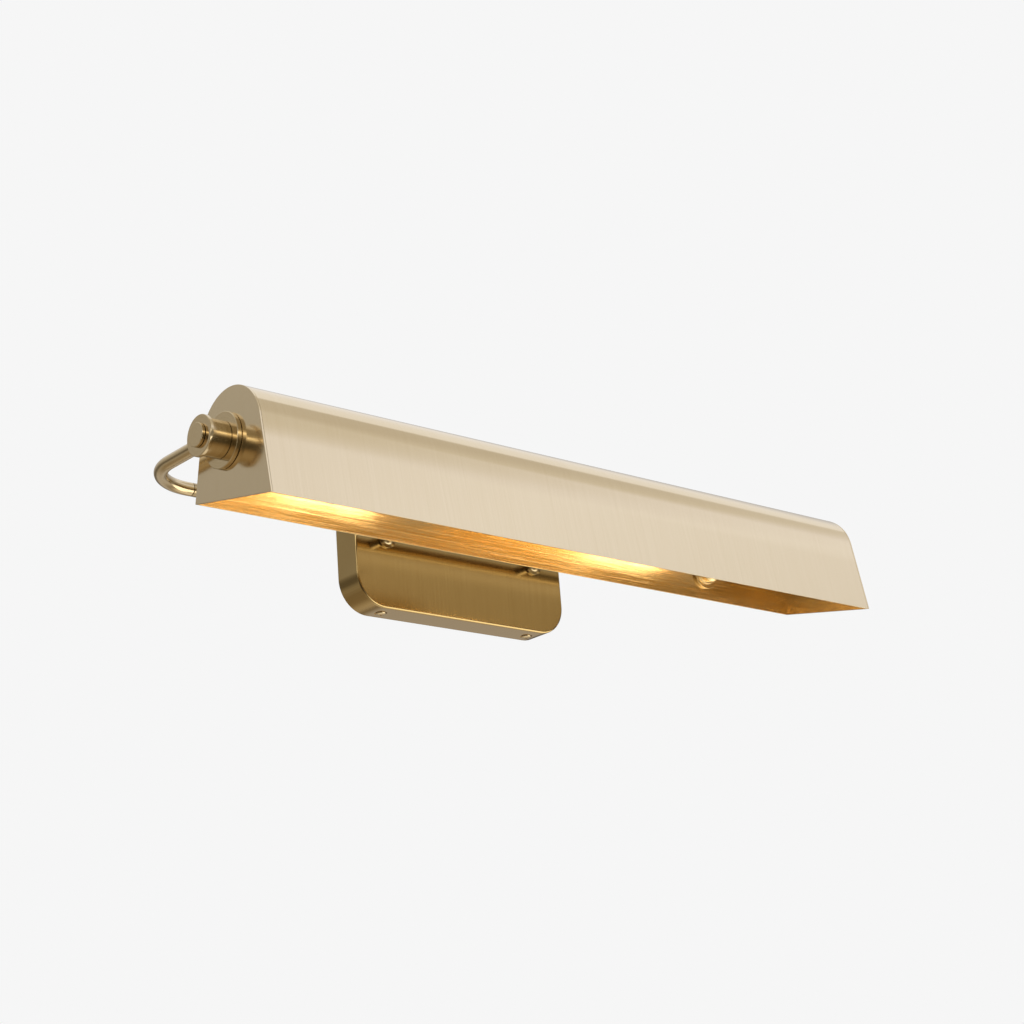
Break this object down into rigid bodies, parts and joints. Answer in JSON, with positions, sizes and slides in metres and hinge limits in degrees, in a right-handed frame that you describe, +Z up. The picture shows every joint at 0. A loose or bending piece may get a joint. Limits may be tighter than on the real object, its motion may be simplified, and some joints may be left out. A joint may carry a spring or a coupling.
{
  "type": "picture light",
  "caption": "Wall picture light: a long arched brass shade, open below, tilts between two tube arms on a rounded backplate.",
  "frame": {"origin": "centre of the mounting channel's back face, on the wall plane", "axes": "+X along the shade to the right as the viewer faces the wall, +Y into the wall, +Z up"},
  "size_m": [0.6484, 0.1887, 0.1184],
  "materials": {
    "brushed_brass": "satin brushed, pale champagne brass",
    "plated_steel": "zinc plated",
    "cream_moulding": "semi-gloss moulded",
    "lit_glass": "opal, lit",
    "lamp_cap_brass": "bright",
    "dark_fibre": "matt pressed fibre",
    "ivory_lead": "smooth sheath"
  },
  "bodies": {
    "wall_frame": {"mounting_channel": "plated_steel", "backplate": "brushed_brass", "bottom_left_side_screw": "brushed_brass", "bottom_right_side_screw": "brushed_brass", "top_left_side_screw": "brushed_brass", "top_right_side_screw": "brushed_brass", "terminal_block": "cream_moulding", "earth_screw": "lamp_cap_brass", "left_post": "brushed_brass", "right_post": "brushed_brass", "left_post_nut": "plated_steel", "right_post_nut": "plated_steel", "rear_bar": "brushed_brass", "left_arm": "brushed_brass", "right_arm": "brushed_brass", "left_bar_nipple": "plated_steel", "right_bar_nipple": "plated_steel", "left_hub": "brushed_brass", "right_hub": "brushed_brass", "left_friction_washer": "dark_fibre", "right_friction_washer": "dark_fibre"},
    "shade": {"left_bracket": "plated_steel", "left_end_cap": "brushed_brass", "left_inner_rivet": "brushed_brass", "left_lamp_cap": "lamp_cap_brass", "left_lamp_glass": "lit_glass", "left_lampholder": "cream_moulding", "left_lampholder_nut": "plated_steel", "left_lead": "ivory_lead", "left_lead_clip": "cream_moulding", "left_outer_rivet": "brushed_brass", "left_pivot_nut": "plated_steel", "left_rosette": "brushed_brass", "middle_lead_clip": "cream_moulding", "right_bracket": "plated_steel", "right_end_cap": "brushed_brass", "right_inner_rivet": "brushed_brass", "right_lamp_cap": "lamp_cap_brass", "right_lamp_glass": "lit_glass", "right_lampholder": "cream_moulding", "right_lampholder_nut": "plated_steel", "right_lead": "ivory_lead", "right_outer_rivet": "brushed_brass", "right_pivot_nut": "plated_steel", "right_rosette": "brushed_brass", "shade_sheet": "brushed_brass", "switch_body": "brushed_brass", "switch_nut": "plated_steel"},
    "left_knob": {"left_clamp_knob": "brushed_brass", "left_knob_button": "brushed_brass", "left_clamp_screw": "plated_steel"},
    "right_knob": {"right_clamp_knob": "brushed_brass", "right_knob_button": "brushed_brass", "right_clamp_screw": "plated_steel"},
    "switch_knob": {"switch_knob": "brushed_brass"}
  },
  "joints": [
    {"name": "shade_tilt", "type": "hinge", "parent": "wall_frame", "child": "shade", "pos_m": [0, -0.1385, 0], "axis": [1, 0, 0], "range_deg": [-50, 60]},
    {"name": "left_knob_turn", "type": "hinge", "parent": "wall_frame", "child": "left_knob", "pos_m": [-0.32, -0.1385, 0], "axis": [-1, 0, 0], "range_deg": [-180, 180]},
    {"name": "right_knob_turn", "type": "hinge", "parent": "wall_frame", "child": "right_knob", "pos_m": [0.32, -0.1385, 0], "axis": [1, 0, 0], "range_deg": [-180, 180]},
    {"name": "switch_turn", "type": "hinge", "parent": "shade", "child": "switch_knob", "pos_m": [0.1975, -0.10401, -0.00968], "axis": [0, 0.979, 0.2036], "range_deg": [0, 90]}
  ]
}
